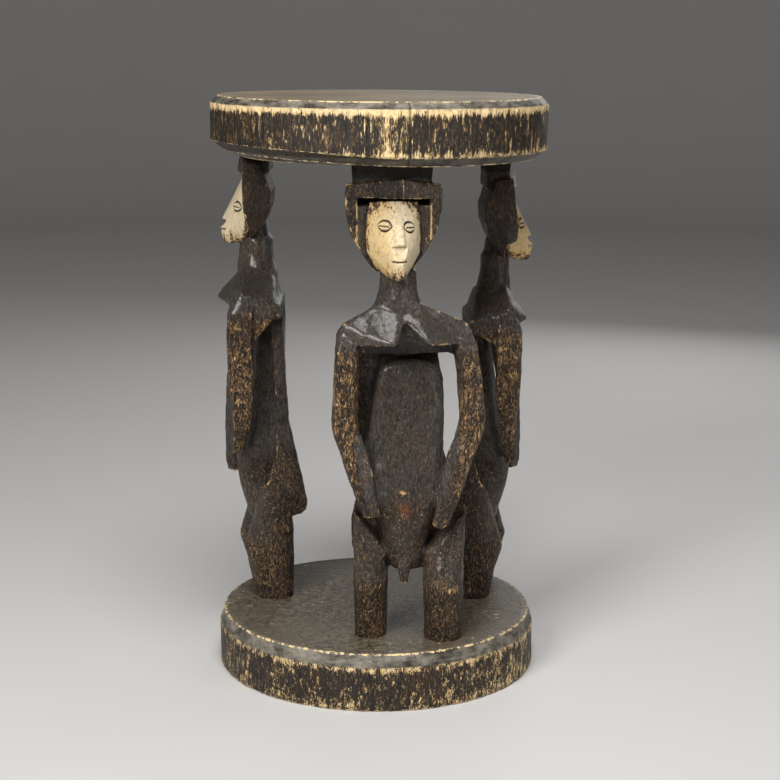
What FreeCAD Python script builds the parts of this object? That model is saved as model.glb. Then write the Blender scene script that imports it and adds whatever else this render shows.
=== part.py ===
import FreeCAD, Part
import math
import os
import Sketcher

# Driving dimensions: lengths in millimetres, turns in degrees
SIZES = {
    # Seat disc
    "seat_radius": 135.0,
    "seat_thickness": 48.0,
    "seat_chamfer_inset": 6.0,
    "seat_chamfer_drop": 5.7,
    "seat_bevel_inset": 10.0,
    "seat_bevel_rise": 7.4,
    # Base disc
    "base_radius": 131.5,
    "base_thickness": 46.0,
    "base_chamfer_inset": 4.0,
    "base_chamfer_drop": 10.5,
    "base_foot_chamfer": 1.5,
    # Heights of a figure, one above the other from the base to the seat
    "leg_length": 59.0,
    "torso_length": 172.0,
    "chest_height": 42.0,
    "neck_length": 17.0,
    "head_height": 86.0,
    # Where each figure stands, which way it turns, how much higher its chest is and how far it leans,
    # how much broader it is than the common widths, and how far its head sits to its left and forward
    "front_x": 24.0,
    "front_y": -79.0,
    "front_turn": 8.0,
    "front_lift": 0.0,
    "front_lean": -11.0,
    "front_breadth": 0.0,
    "front_head_shift": -5.0,
    "front_head_forward": 0.0,
    "left_x": -89.5,
    "left_y": 39.0,
    "left_turn": -90.0,
    "left_lift": 9.0,
    "left_lean": 0.0,
    "left_breadth": -16.0,
    "left_head_shift": 0.0,
    "left_head_forward": 0.0,
    "right_x": 83.0,
    "right_y": 43.0,
    "right_turn": 92.0,
    "right_lift": -4.0,
    "right_lean": 0.0,
    "right_breadth": -16.0,
    "right_head_shift": 0.0,
    "right_head_forward": 4.0,
    # Legs
    "leg_spacing": 60.0,
    "leg_round": 13.0,
    "leg_back": 15.3,
    "ankle_width": 28.0,
    "ankle_depth": 32.0,
    "knee_rise": 47.0,
    "knee_width": 29.0,
    "knee_depth": 41.5,
    "thigh_rise": 96.0,
    "thigh_width": 30.0,
    "thigh_depth": 37.0,
    # Torso with hips, and the slanted seams where the legs meet it
    "torso_round": 10.0,
    "hip_round": 18.0,
    "torso_top_width": 50.0,
    "torso_top_depth": 25.0,
    "torso_top_back": 10.0,
    "waist_rise": 102.0,
    "waist_width": 57.0,
    "waist_depth": 32.0,
    "waist_back": 11.0,
    "belly_rise": 62.0,
    "belly_width": 62.0,
    "belly_depth": 46.5,
    "belly_back": 17.0,
    "hip_rise": 27.0,
    "hip_width": 94.0,
    "hip_depth": 47.0,
    "hip_back": 24.0,
    "crotch_width": 88.0,
    "crotch_depth": 46.0,
    "crotch_back": 27.0,
    "seam_rise": 35.0,
    "seam_reach": 44.5,
    # Chest with shoulders
    "chest_round": 11.0,
    "chest_width": 107.0,
    "chest_depth": 44.0,
    "chest_back": 8.0,
    "shoulder_rise": 25.0,
    "shoulder_width": 102.0,
    "shoulder_depth": 39.0,
    "collar_width": 35.0,
    "collar_depth": 34.0,
    "collar_back": 6.0,
    "breast_spacing": 28.6,
    "breast_rise": 9.5,
    "breast_radius": 9.0,
    "breast_tip_radius": 1.5,
    "breast_reach": 12.5,
    # Arms
    "arm_round": 7.0,
    "arm_spacing": 92.0,
    "arm_width": 19.0,
    "arm_depth": 17.5,
    "arm_forward": 26.5,
    "elbow_rise": 121.0,
    "elbow_spacing": 98.0,
    "elbow_width": 21.0,
    "elbow_depth": 20.0,
    "elbow_forward": 26.5,
    "wrist_rise": 65.0,
    "wrist_spacing": 70.0,
    "wrist_width": 16.0,
    "wrist_depth": 17.0,
    "wrist_forward": 32.5,
    "hand_rise": 47.0,
    "hand_spacing": 58.0,
    "hand_width": 14.5,
    "hand_depth": 20.0,
    "hand_forward": 32.0,
    # Neck
    "neck_foot_radius": 16.5,
    "neck_radius": 14.0,
    "neck_forward": 12.5,
    # Coiffure, a hood with an overhanging brow
    "hood_round": 5.0,
    "hood_width": 74.0,
    "hood_depth": 23.0,
    "hood_back": 1.5,
    "hood_side_rise": 46.0,
    "hood_jaw_rise": 24.0,
    "hood_jaw_width": 54.0,
    "hood_foot_width": 29.0,
    "hood_foot_depth": 19.0,
    "brow_rise": 62.0,
    "brow_height": 11.0,
    "crown_width": 62.0,
    "crown_depth": 19.0,
    # Face, a shield-shaped block set in the hood
    "face_round": 3.5,
    "face_back": 14.0,
    "face_opening_width": 58.0,
    "chin_width": 12.0,
    "chin_reach": 26.0,
    "mouth_rise": 14.0,
    "mouth_width": 29.0,
    "mouth_reach": 28.5,
    "cheek_rise": 26.0,
    "cheek_width": 41.0,
    "cheek_reach": 25.0,
    "temple_rise": 40.0,
    "temple_width": 47.0,
    "temple_reach": 18.5,
    "forehead_width": 46.0,
    "forehead_reach": 5.0,
    # Peg of the front figure
    "peg_radius": 5.5,
    "peg_tip_radius": 3.5,
    "peg_forward": 15.0,
    "peg_root_rise": 8.0,
    "peg_drop": 12.0,
    # Stub tenons, and the room that their mortises leave
    "leg_tenon_radius": 6.5,
    "leg_tenon_length": 12.0,
    "torso_tenon_radius": 6.5,
    "torso_tenon_length": 10.0,
    "arm_tenon_radius": 4.5,
    "arm_tenon_length": 8.0,
    "neck_tenon_radius": 5.5,
    "neck_tenon_length": 7.0,
    "neck_tenon_forward": 6.5,
    "crown_tenon_radius": 6.5,
    "crown_tenon_length": 12.0,
    "fit_clearance": 0.25,
    "end_clearance": 0.5,
}

FIGURES = ("front", "left", "right")
SIDES = {"left": 1, "right": -1}
ON_AXIS = "0"
# Most of a section's width or depth that one rounded corner takes
ROUND_SHARE = 0.49

doc = FreeCAD.newDocument("ceremonial_stool")
sheet = doc.addObject("Spreadsheet::Sheet", "sizes")
for row, (alias, size) in enumerate(SIZES.items(), start=1):
    sheet.set(f"A{row}", alias)
    sheet.set(f"B{row}", str(size))
    sheet.setAlias(f"B{row}", alias)
doc.recompute()

# Levels above the floor
BASE_TOP = "sizes.base_thickness"
CROTCH = f"({BASE_TOP} + sizes.leg_length)"
SEAT_UNDER = f"({CROTCH} + sizes.torso_length + sizes.chest_height + sizes.neck_length + sizes.head_height)"
SEAT_TOP = f"({SEAT_UNDER} + sizes.seat_thickness)"


def chest_under(figure):
    """Level of the underside of a figure's chest."""
    return f"({CROTCH} + sizes.torso_length + sizes.{figure}_lift)"


def neck_foot(figure):
    """Level where a figure's neck rises from its chest."""
    return f"({chest_under(figure)} + sizes.chest_height)"


def chin(figure):
    """Level of a figure's chin, where its head sits on its neck."""
    return f"({neck_foot(figure)} + sizes.neck_length)"


def brow_under(figure):
    """Level of the underside of a figure's brow."""
    return f"({chin(figure)} + sizes.brow_rise)"


def lean(figure, level):
    """Sideways shift of a figure at a level: none at the crotch, all of it at the seat."""
    return f"(sizes.{figure}_lean * ({level} - {CROTCH}) / ({SEAT_UNDER} - {CROTCH}))"


def head_x(figure, level):
    """Sideways place of a figure's head at a level."""
    return f"({lean(figure, level)} + sizes.{figure}_head_shift)"


def head_y(figure, y):
    """Place of a point of the head, forward or back, from its place on a head that isn't set forward."""
    return f"({y} - sizes.{figure}_head_forward)"


def across(figure, size):
    """Width or spacing across a figure's body, with the figure's own breadth."""
    return f"(sizes.{size} + sizes.{figure}_breadth)"


def leg_offset(figure):
    """Distance of a leg from the middle of a figure."""
    return f"({across(figure, 'leg_spacing')} / 2)"


def seam_level(x):
    """Level of the slanted seam between leg and torso at a distance from the middle."""
    return f"({CROTCH} + sizes.seam_rise * {x} / sizes.seam_reach)"


def value(expression):
    """Present value of an expression of the sheet's sizes."""
    return float(sheet.evalExpression(expression))


def bind(thing, expressions):
    """Bind properties of an object to expressions."""
    for path, expression in expressions.items():
        thing.setExpression(path, expression)
    return thing


def place(thing, figure):
    """Stand an object, built in the figure's own frame, where the figure stands."""
    thing.Placement = FreeCAD.Placement(FreeCAD.Vector(), FreeCAD.Rotation(FreeCAD.Vector(0, 0, 1), 1))
    return bind(thing, {
        "Placement.Base.x": f"sizes.{figure}_x",
        "Placement.Base.y": f"sizes.{figure}_y",
        "Placement.Rotation.Angle": f"sizes.{figure}_turn",
    })


# Sketches and solids
def new_sketch(body, role, name):
    """Empty sketch on one of the body's own planes."""
    sketch = body.newObject("Sketcher::SketchObject", name)
    plane = next(feature for feature in body.Origin.OriginFeatures if feature.Role == role)
    sketch.AttachmentSupport = [(plane, "")]
    sketch.MapMode = "FlatFace"
    return sketch


def outline(body, role, name, points):
    """Closed outline of straight edges, with each corner bound to its two expressions."""
    sketch = new_sketch(body, role, name)
    corners = [FreeCAD.Vector(value(x), value(y), 0) for x, y in points]
    count = len(corners)
    for edge in range(count):
        sketch.addGeometry(Part.LineSegment(corners[edge], corners[(edge + 1) % count]))
    for edge in range(count):
        sketch.addConstraint(Sketcher.Constraint("Coincident", edge, 2, (edge + 1) % count, 1))
    for edge, point in enumerate(points):
        for axis, kind, expression in zip((-2, -1), ("DistanceX", "DistanceY"), point):
            if expression == ON_AXIS:
                sketch.addConstraint(Sketcher.Constraint("PointOnObject", edge, 1, axis))
                continue
            number = sketch.addConstraint(Sketcher.Constraint(kind, -1, 1, edge, 1, value(expression)))
            sketch.setExpression(f"Constraints[{number}]", expression)
    return sketch


def level_section(body, name, width, depth, corner, x, y, z):
    """Level rounded rectangle, with its size and the place of its middle bound to expressions."""
    radius = f"min({corner}; {ROUND_SHARE} * {width}; {ROUND_SHARE} * {depth})"
    sketch = new_sketch(body, "XY_Plane", name)
    half_x = value(width) / 2
    half_y = value(depth) / 2
    arc = value(radius)
    quarter = math.pi / 2
    axis = FreeCAD.Vector(0, 0, 1)
    corners = [(half_x, -half_y), (half_x, half_y), (-half_x, half_y), (-half_x, -half_y)]
    for turn, (corner_x, corner_y) in enumerate(corners):
        middle = FreeCAD.Vector(corner_x - arc * (1 if corner_x > 0 else -1),
                                corner_y - arc * (1 if corner_y > 0 else -1), 0)
        circle = Part.Circle(middle, axis, arc)
        sketch.addGeometry(Part.ArcOfCircle(circle, (turn - 1) * quarter, turn * quarter))
    for turn in range(4):
        start = sketch.Geometry[turn].EndPoint
        end = sketch.Geometry[(turn + 1) % 4].StartPoint
        sketch.addGeometry(Part.LineSegment(start, end))
    rules = []
    for turn in range(4):
        rules.append(Sketcher.Constraint("Tangent", turn, 2, turn + 4, 1))
        rules.append(Sketcher.Constraint("Tangent", turn + 4, 2, (turn + 1) % 4, 1))
    for turn in range(3):
        rules.append(Sketcher.Constraint("Equal", turn, turn + 1))
    for side, kind in enumerate(("Vertical", "Horizontal", "Vertical", "Horizontal"), start=4):
        rules.append(Sketcher.Constraint(kind, side))
    rules.append(Sketcher.Constraint("Symmetric", 0, 3, 2, 3, -1, 1))
    sketch.addConstraint(rules)
    driven = {
        width: Sketcher.Constraint("DistanceX", 6, 1, 4, 1, 2 * half_x),
        depth: Sketcher.Constraint("DistanceY", 7, 1, 5, 1, 2 * half_y),
        radius: Sketcher.Constraint("Radius", 0, arc),
    }
    for expression, rule in driven.items():
        number = sketch.addConstraint(rule)
        sketch.setExpression(f"Constraints[{number}]", expression)
    return bind(sketch, {
        "AttachmentOffset.Base.x": x,
        "AttachmentOffset.Base.y": y,
        "AttachmentOffset.Base.z": z,
    })


def carved_body(name, sections):
    """Body lofted straight from each level section to the next, lowest first."""
    body = doc.addObject("PartDesign::Body", name)
    sketches = [level_section(body, f"{name}_{key}", *section) for key, section in sections.items()]
    loft = body.newObject("PartDesign::AdditiveLoft", f"{name}_loft")
    loft.Profile = sketches[0]
    loft.Sections = sketches[1:]
    loft.Ruled = True
    return body


def turned_disc(name, profile):
    """Body turned about the upright axis from half of its profile."""
    body = doc.addObject("PartDesign::Body", name)
    sketch = outline(body, "XZ_Plane", f"{name}_profile", profile)
    turning = body.newObject("PartDesign::Revolution", f"{name}_turning")
    turning.Profile = sketch
    turning.ReferenceAxis = (sketch, ["V_Axis"])
    turning.Angle = 360
    return body


def cylinder(name, radius, x, y, low, high):
    """Upright cylinder between two levels."""
    return bind(doc.addObject("Part::Cylinder", name), {
        "Radius": radius,
        "Height": f"{high} - {low}",
        "Placement.Base.x": x,
        "Placement.Base.y": y,
        "Placement.Base.z": low,
    })


def tenon_joint(name, kind, x, y, level):
    """Stub tenon that reaches to both sides of a joint, and the mortise that leaves it its clearance."""
    radius = f"sizes.{kind}_tenon_radius"
    reach = f"sizes.{kind}_tenon_length"
    room = f"({reach} + sizes.end_clearance)"
    tenon = cylinder(f"{name}_tenon", radius, x, y, f"({level} - {reach})", f"({level} + {reach})")
    mortise = cylinder(f"{name}_mortise", f"{radius} + sizes.fit_clearance", x, y,
                       f"({level} - {room})", f"({level} + {room})")
    return tenon, mortise


def compound(name, things):
    """Several tools held together as one."""
    group = doc.addObject("Part::Compound", name)
    group.Links = things
    return group


def fused(name, things):
    """One solid of several that meet or overlap."""
    union = doc.addObject("Part::MultiFuse", name)
    union.Shapes = things
    return union


def cut(name, solid, tools):
    """Solid with the tools taken out of it."""
    difference = doc.addObject("Part::Cut", name)
    difference.Base = solid
    difference.Tool = tools[0] if len(tools) == 1 else compound(f"{name}_tools", tools)
    return difference


def cone(name, foot_radius, tip_radius, height):
    """Cone that stands on its wide end before it is placed."""
    return bind(doc.addObject("Part::Cone", name), {
        "Radius1": foot_radius,
        "Radius2": tip_radius,
        "Height": height,
    })


# Sub-parts of one figure, built in its own frame: it faces -Y and its left hand is at +X
def make_joints(figure):
    """Tenons and mortises of a figure, by the name of the joint."""
    joints = {}
    for side, sign in SIDES.items():
        leg_x = f"({sign} * {leg_offset(figure)})"
        leg_y = "(sizes.leg_back - sizes.ankle_depth / 2)"
        joints[f"foot_{side}"] = ("leg", leg_x, leg_y, BASE_TOP)
        joints[f"hip_{side}"] = ("leg", leg_x, leg_y, seam_level(leg_offset(figure)))
        under = chest_under(figure)
        arm_x = f"({sign} * {across(figure, 'arm_spacing')} / 2 + {lean(figure, under)})"
        joints[f"shoulder_{side}"] = ("arm", arm_x, "-sizes.arm_forward", under)
    under = chest_under(figure)
    torso_y = "(sizes.torso_top_back - sizes.torso_top_depth / 2)"
    joints["chest"] = ("torso", lean(figure, under), torso_y, under)
    foot = neck_foot(figure)
    joints["collar"] = ("neck", lean(figure, foot), "-sizes.neck_forward", foot)
    top = chin(figure)
    joints["head"] = ("neck", head_x(figure, top), head_y(figure, "-sizes.neck_tenon_forward"), top)
    crown_y = head_y(figure, "(sizes.hood_back - sizes.crown_depth / 2)")
    joints["crown"] = ("crown", head_x(figure, SEAT_UNDER), crown_y, SEAT_UNDER)
    return {joint: tenon_joint(f"{figure}_{joint}", *where) for joint, where in joints.items()}


def make_seam_zone(figure):
    """Space above the two slanted seams, which the torso keeps and the legs leave."""
    body = doc.addObject("PartDesign::Body", f"{figure}_seam_zone")
    reach = "sizes.hip_width"
    top = neck_foot(figure)
    slant_end = seam_level(reach)
    points = [(ON_AXIS, CROTCH), (reach, slant_end), (reach, top)]
    points += [(f"-{reach}", top), (f"-{reach}", slant_end)]
    sketch = outline(body, "XZ_Plane", f"{figure}_seam_outline", points)
    pad = body.newObject("PartDesign::Pad", f"{figure}_seam_pad")
    pad.Profile = sketch
    pad.SideType = "Symmetric"
    pad.setExpression("Length", "4 * sizes.hip_depth")
    return body


def make_leg(figure, side, joints, seam_zone):
    """Leg without a foot, with a ridge at the knee."""
    name = f"{figure}_leg_{side}"
    x = f"({SIDES[side]} * {leg_offset(figure)})"
    sections = {}
    for part, rise in (("ankle", "0"), ("knee", "sizes.knee_rise"), ("thigh", "sizes.thigh_rise")):
        depth = f"sizes.{part}_depth"
        middle = f"(sizes.leg_back - {depth} / 2)"
        level = f"({BASE_TOP} + {rise})"
        sections[part] = (f"sizes.{part}_width", depth, "sizes.leg_round", x, middle, level)
    block = cut(f"{name}_block", carved_body(f"{name}_carving", sections), [seam_zone])
    return fused(name, [block, joints[f"foot_{side}"][0], joints[f"hip_{side}"][0]])


def make_torso(figure, joints, seam_zone):
    """Torso from the chest to the hips with a keel between the legs, and its trunk without joints."""
    name = f"{figure}_torso"
    levels = {
        "crotch": CROTCH,
        "hip": f"({CROTCH} + sizes.hip_rise)",
        "belly": f"({CROTCH} + sizes.belly_rise)",
        "waist": f"({CROTCH} + sizes.waist_rise)",
        "torso_top": chest_under(figure),
    }
    sections = {}
    for part, level in levels.items():
        depth = f"sizes.{part}_depth"
        at_hips = part in ("crotch", "hip")
        width = across(figure, f"{part}_width") if at_hips else f"sizes.{part}_width"
        corner = "sizes.hip_round" if at_hips else "sizes.torso_round"
        middle = f"(sizes.{part}_back - {depth} / 2)"
        sections[part] = (width, depth, corner, lean(figure, level), middle, level)
    block = doc.addObject("Part::MultiCommon", f"{name}_block")
    block.Shapes = [carved_body(f"{name}_carving", sections), seam_zone]
    hips = cut(f"{name}_hips", block, [joints[f"hip_{side}"][1] for side in SIDES])
    return fused(name, [hips, joints["chest"][0]]), block


def make_chest(figure, joints):
    """Chest and shoulders with two breasts."""
    name = f"{figure}_chest"
    under = chest_under(figure)
    shoulder = f"({under} + sizes.shoulder_rise)"
    collar = neck_foot(figure)
    sections = {}
    for part, level, back in (("chest", under, "chest_back"), ("shoulder", shoulder, "chest_back"),
                              ("collar", collar, "collar_back")):
        depth = f"sizes.{part}_depth"
        middle = f"(sizes.{back} - {depth} / 2)"
        width = f"sizes.{part}_width" if part == "collar" else across(figure, f"{part}_width")
        sections[part] = (width, depth, "sizes.chest_round", lean(figure, level), middle, level)
    pieces = [carved_body(f"{name}_carving", sections)]
    level = f"({under} + sizes.breast_rise)"
    front = "(sizes.shoulder_depth - sizes.chest_back)"
    # Each breast reaches as far into the chest as it stands out
    root_radius = "2 * sizes.breast_radius - sizes.breast_tip_radius"
    for side, sign in SIDES.items():
        breast = cone(f"{figure}_breast_{side}", root_radius, "sizes.breast_tip_radius",
                      "2 * sizes.breast_reach")
        breast.Placement.Rotation = FreeCAD.Rotation(FreeCAD.Vector(1, 0, 0), 90)
        pieces.append(bind(breast, {
            "Placement.Base.x": f"{sign} * sizes.breast_spacing / 2 + {lean(figure, level)}",
            "Placement.Base.y": f"sizes.breast_reach - {front}",
            "Placement.Base.z": level,
        }))
    floor = cylinder(f"{name}_floor", "sizes.chest_width", "0", "0", CROTCH, under)
    block = cut(f"{name}_block", fused(f"{name}_whole", pieces), [floor])
    holes = [joints[joint][1] for joint in ("shoulder_left", "shoulder_right", "chest", "collar")]
    return cut(name, block, holes)


def make_arm(figure, side, joints, trunk):
    """Arm with its elbow out and its cut-off hand on the hip."""
    name = f"{figure}_arm_{side}"
    levels = {
        "hand": f"({CROTCH} + sizes.hand_rise)",
        "wrist": f"({CROTCH} + sizes.wrist_rise)",
        "elbow": f"({CROTCH} + sizes.elbow_rise)",
        "arm": chest_under(figure),
    }
    sections = {}
    for part, level in levels.items():
        spacing = f"sizes.{part}_spacing" if part == "hand" else across(figure, f"{part}_spacing")
        x = f"({SIDES[side]} * {spacing} / 2 + {lean(figure, level)})"
        y = f"(-sizes.{part}_forward)"
        sections[part] = (f"sizes.{part}_width", f"sizes.{part}_depth", "sizes.arm_round", x, y, level)
    block = cut(f"{name}_block", carved_body(f"{name}_carving", sections), [trunk])
    return fused(name, [block, joints[f"shoulder_{side}"][0]])


def make_neck(figure, joints):
    """Round neck, wider at its foot."""
    name = f"{figure}_neck"
    foot = neck_foot(figure)
    block = bind(cone(f"{name}_block", "sizes.neck_foot_radius", "sizes.neck_radius", "sizes.neck_length"), {
        "Placement.Base.x": lean(figure, foot),
        "Placement.Base.y": "-sizes.neck_forward",
        "Placement.Base.z": foot,
    })
    return fused(name, [block, joints["collar"][0], joints["head"][0]])


def make_coiffure(figure, joints):
    """Hood of hair from the jaw to the seat, open in front for the face."""
    name = f"{figure}_coiffure"
    foot = chin(figure)
    brow = brow_under(figure)
    levels = {
        "foot": (foot, "hood_foot_width", "hood_foot_depth"),
        "jaw": (f"({foot} + sizes.hood_jaw_rise)", "hood_jaw_width", "hood_depth"),
        "side": (f"({foot} + sizes.hood_side_rise)", "hood_width", "hood_depth"),
        "brow": (f"({brow} + sizes.brow_height)", "hood_width", "hood_depth"),
        "crown": (SEAT_UNDER, "crown_width", "crown_depth"),
    }
    sections = {}
    for part, (level, width, depth) in levels.items():
        x = head_x(figure, level)
        y = head_y(figure, f"(sizes.hood_back - sizes.{depth} / 2)")
        sections[part] = (f"sizes.{width}", f"sizes.{depth}", "sizes.hood_round", x, y, level)
    opening = bind(doc.addObject("Part::Box", f"{name}_opening"), {
        "Length": "sizes.face_opening_width",
        "Width": "sizes.hood_depth",
        "Height": f"{brow} - {foot}",
        "Placement.Base.x": f"{head_x(figure, foot)} - sizes.face_opening_width / 2",
        "Placement.Base.y": head_y(figure, "-sizes.face_back - sizes.hood_depth"),
        "Placement.Base.z": foot,
    })
    block = cut(f"{name}_block", carved_body(f"{name}_carving", sections), [opening, joints["head"][1]])
    return fused(name, [block, joints["crown"][0]])


def make_face(figure):
    """Flat face that slopes forward from the brow to the mouth."""
    foot = chin(figure)
    levels = {
        "chin": foot,
        "mouth": f"({foot} + sizes.mouth_rise)",
        "cheek": f"({foot} + sizes.cheek_rise)",
        "temple": f"({foot} + sizes.temple_rise)",
        "forehead": brow_under(figure),
    }
    sections = {}
    for part, level in levels.items():
        reach = f"sizes.{part}_reach"
        x = head_x(figure, level)
        y = head_y(figure, f"(-sizes.face_back - {reach} / 2)")
        sections[part] = (f"sizes.{part}_width", reach, "sizes.face_round", x, y, level)
    return carved_body(f"{figure}_face", sections)


def make_peg(figure, seam_zone):
    """Small tapered peg that hangs at the crotch, with the keel of the hips let into its root."""
    name = f"{figure}_peg"
    foot = f"({CROTCH} - sizes.peg_drop)"
    block = bind(cone(f"{name}_block", "sizes.peg_tip_radius", "sizes.peg_radius",
                      "sizes.peg_drop + sizes.peg_root_rise"), {
        "Placement.Base.x": lean(figure, foot),
        "Placement.Base.y": "-sizes.peg_forward",
        "Placement.Base.z": foot,
    })
    return cut(name, block, [seam_zone])


# The three figures, then the two discs with their mortises
parts = []
foot_mortises = []
crown_mortises = []
for figure in FIGURES:
    joints = make_joints(figure)
    seam_zone = make_seam_zone(figure)
    torso, trunk = make_torso(figure, joints, seam_zone)
    pieces = [torso, make_chest(figure, joints), make_neck(figure, joints)]
    pieces += [make_leg(figure, side, joints, seam_zone) for side in SIDES]
    pieces += [make_arm(figure, side, joints, trunk) for side in SIDES]
    pieces += [make_coiffure(figure, joints), make_face(figure)]
    if figure == "front":
        pieces.append(make_peg(figure, seam_zone))
    feet = compound(f"{figure}_foot_mortises", [joints[f"foot_{side}"][1] for side in SIDES])
    crown = compound(f"{figure}_crown_mortises", [joints["crown"][1]])
    foot_mortises.append(feet)
    crown_mortises.append(crown)
    parts += pieces
    for thing in pieces + [feet, crown]:
        place(thing, figure)

base = turned_disc("base_blank", [
    (ON_AXIS, ON_AXIS),
    ("sizes.base_radius - sizes.base_foot_chamfer", ON_AXIS),
    ("sizes.base_radius", "sizes.base_foot_chamfer"),
    ("sizes.base_radius", "sizes.base_thickness - sizes.base_chamfer_drop"),
    ("sizes.base_radius - sizes.base_chamfer_inset", BASE_TOP),
    (ON_AXIS, BASE_TOP),
])
seat = turned_disc("seat_blank", [
    (ON_AXIS, SEAT_UNDER),
    ("sizes.seat_radius - sizes.seat_bevel_inset", SEAT_UNDER),
    ("sizes.seat_radius", f"{SEAT_UNDER} + sizes.seat_bevel_rise"),
    ("sizes.seat_radius", f"{SEAT_TOP} - sizes.seat_chamfer_drop"),
    ("sizes.seat_radius - sizes.seat_chamfer_inset", SEAT_TOP),
    (ON_AXIS, SEAT_TOP),
])
parts.append(cut("base_disc", base, foot_mortises))
parts.append(cut("seat_disc", seat, crown_mortises))

# Check the whole document before anything is written
doc.recompute()
failed = [thing.Name for thing in doc.Objects if {"Invalid", "Error"} & set(thing.State)]
if failed:
    raise RuntimeError(f"these objects failed: {failed}")
for part in parts:
    if part.Shape.isNull() or not part.Shape.isValid() or len(part.Shape.Solids) != 1:
        raise RuntimeError(f"{part.Label} isn't one valid solid")

os.makedirs("parts", exist_ok=True)
for part in parts:
    part.Shape.exportStep(f"parts/{part.Label}.step")
    print(f"{part.Label}: {part.Shape.Volume / 1000:.1f} cm3")
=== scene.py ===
import math
from collections import namedtuple

import bpy
import numpy as np
from bpy.props import FloatProperty, FloatVectorProperty, IntProperty, PointerProperty
from mathutils import Matrix, Vector, noise


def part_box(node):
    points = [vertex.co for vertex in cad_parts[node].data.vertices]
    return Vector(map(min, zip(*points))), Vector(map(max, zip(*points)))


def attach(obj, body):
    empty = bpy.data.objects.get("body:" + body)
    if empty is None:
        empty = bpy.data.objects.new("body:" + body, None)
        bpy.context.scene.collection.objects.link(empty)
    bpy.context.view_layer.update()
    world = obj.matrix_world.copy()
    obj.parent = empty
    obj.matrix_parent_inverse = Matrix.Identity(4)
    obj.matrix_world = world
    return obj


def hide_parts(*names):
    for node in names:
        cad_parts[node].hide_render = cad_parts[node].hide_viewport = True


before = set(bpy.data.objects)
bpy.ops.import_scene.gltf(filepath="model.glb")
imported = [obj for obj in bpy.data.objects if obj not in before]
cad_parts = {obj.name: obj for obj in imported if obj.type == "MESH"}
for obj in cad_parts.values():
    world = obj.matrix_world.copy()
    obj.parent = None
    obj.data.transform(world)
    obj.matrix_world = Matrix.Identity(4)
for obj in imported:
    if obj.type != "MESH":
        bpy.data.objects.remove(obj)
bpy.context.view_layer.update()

bl_info = {
    "name": "Ceremonial stool",
    "version": (1, 0, 0),
    "blender": (4, 5, 0),
    "location": "View3D > Sidebar > Stool",
    "description": "Carves and finishes a stool with standing figures over its packed solids",
    "category": "Object",
}

MM = 0.001
SEAT_LOW, SEAT_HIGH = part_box("seat_disc")
BASE_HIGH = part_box("base_disc")[1]

# Levels of the stool in millimetres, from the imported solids
BASE_TOP = BASE_HIGH.z / MM
SEAT_UNDER = SEAT_LOW.z / MM
SEAT_TOP = SEAT_HIGH.z / MM
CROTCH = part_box("front_torso")[0].z / MM
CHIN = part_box("front_face")[0].z / MM

# Where each figure stands and turns, its higher chest, its lean, its breadth, its head's place
# and the twist of its hips
Stance = namedtuple("Stance", "x y turn lift lean breadth head_shift head_forward twist")
STANCES = {
    "front": Stance(24, -79, 8, 0, -11, 0, -7.5, 0, -8),
    "left": Stance(-89.5, 39, -90, 9, 0, -16, 0, 0, 10),
    "right": Stance(83, 43, 92, -4, 0, -16, 0, 4, -9),
}
# Levels of the hands' ends, rise of the breasts' tips, depth of the armpits' webs, how much the breasts
# are shorter, depth of the neck, rounds of softening and sheen of the chest
Trim = namedtuple("Trim", "hands tip_rise web short slim rounds sheen")
TRIMS = {
    "front": Trim((151.5, 146.5), 0, 9, 0, 1, 4, 0.95),
    "left": Trim((148, 174), 5, 22, 0, 1, 11, 0.95),
    "right": Trim((165, 150), 0, 9, 3.5, 0.85, 11, 0.45),
}
FINISHES = {"disc_wood": "worn_disc_wood", "figure_wood": "handled_figure_wood",
            "face_pigment": "pale_face_pigment"}
BODY_NODES = ("torso", "chest", "neck", "leg_left", "leg_right", "arm_left", "arm_right")


def length_of(name, description, default):
    return FloatProperty(name=name, description=description, default=default, unit="LENGTH")


def number_of(name, description, default):
    return FloatProperty(name=name, description=description, default=default)


def colour_of(name, description, *rgb):
    return FloatVectorProperty(
        name=name, description=description, subtype="COLOR", size=4, default=(*rgb, 1.0))


def angle_of(name, description, degrees):
    return FloatProperty(
        name=name, description=description, subtype="ANGLE", default=math.radians(degrees))


class StoolCarving(bpy.types.PropertyGroup):
    """Sizes of the carving on the discs and figures"""

    body_voxel: length_of("Body grain size", "Size of the facets that the bodies are carved in", 0.0013)
    head_voxel: length_of("Head grain size", "Size of the facets that the hoods are carved in", 0.0008)
    face_voxel: length_of("Face grain size", "Size of the facets that the faces are carved in", 0.0005)
    adze_depth: length_of("Adze marks", "Depth of the shallow tool marks", 0.0007)
    chip_depth: length_of("Chip depth", "Depth of the chips along the discs' edges", 0.0014)
    disc_steps: IntProperty(name="Disc steps", description="Faces around each disc", default=560)


class StoolFinish(bpy.types.PropertyGroup):
    """Colours of the patina, the bare wood and the pigment"""

    patina: colour_of("Patina", "Dark handled surface", 0.0055, 0.0040, 0.0032)
    brown: colour_of("Brown wood", "Thin patina over brown wood", 0.029, 0.0150, 0.0077)
    # Painted sheen: a grey colour laid on the figures' rubbed planes in place of their shine
    polish_and_sheen: colour_of("Painted grey sheen", "Grey sheen painted on the rubbed broad planes", 0.056, 0.051, 0.044)
    gold: colour_of("Golden wood", "Wood worn to a golden brown", 0.65, 0.44, 0.195)
    cream: colour_of("Bare wood", "Pale bare wood in chips and on edges", 0.80, 0.64, 0.37)
    dust: colour_of("Dusty top", "Dull rubbed surface of the discs' tops", 0.165, 0.135, 0.092)
    pigment: colour_of("Face pigment", "Pale pigment on the faces", 0.67, 0.555, 0.36)
    stain: colour_of("Pigment stain", "Yellowed parts of the pigment", 0.55, 0.365, 0.125)


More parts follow.
